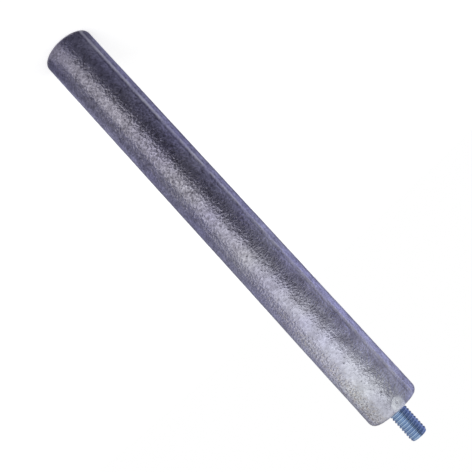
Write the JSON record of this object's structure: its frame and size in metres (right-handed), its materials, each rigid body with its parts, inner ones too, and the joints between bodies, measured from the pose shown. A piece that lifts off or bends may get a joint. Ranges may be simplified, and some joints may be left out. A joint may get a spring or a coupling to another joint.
{
  "type": "sacrificial anode",
  "caption": "Cast magnesium anode rod that screws into a tank, calorifier or fitting by the threaded steel stud in its end.",
  "frame": {"origin": "centre of the sawn end, on the rod's axis", "axes": "+Z along the rod from the sawn end to the stud, +X in the plane where the two halves of the mould meet"},
  "size_m": [0.0184, 0.018, 0.168],
  "materials": {
    "cast_magnesium": "as cast, pebbled skin",
    "zinc_plated_steel": "zinc plated, blue passivated"
  },
  "bodies": {
    "root": {"anode_body": "cast_magnesium", "threaded_stud": "zinc_plated_steel"}
  },
  "joints": []
}
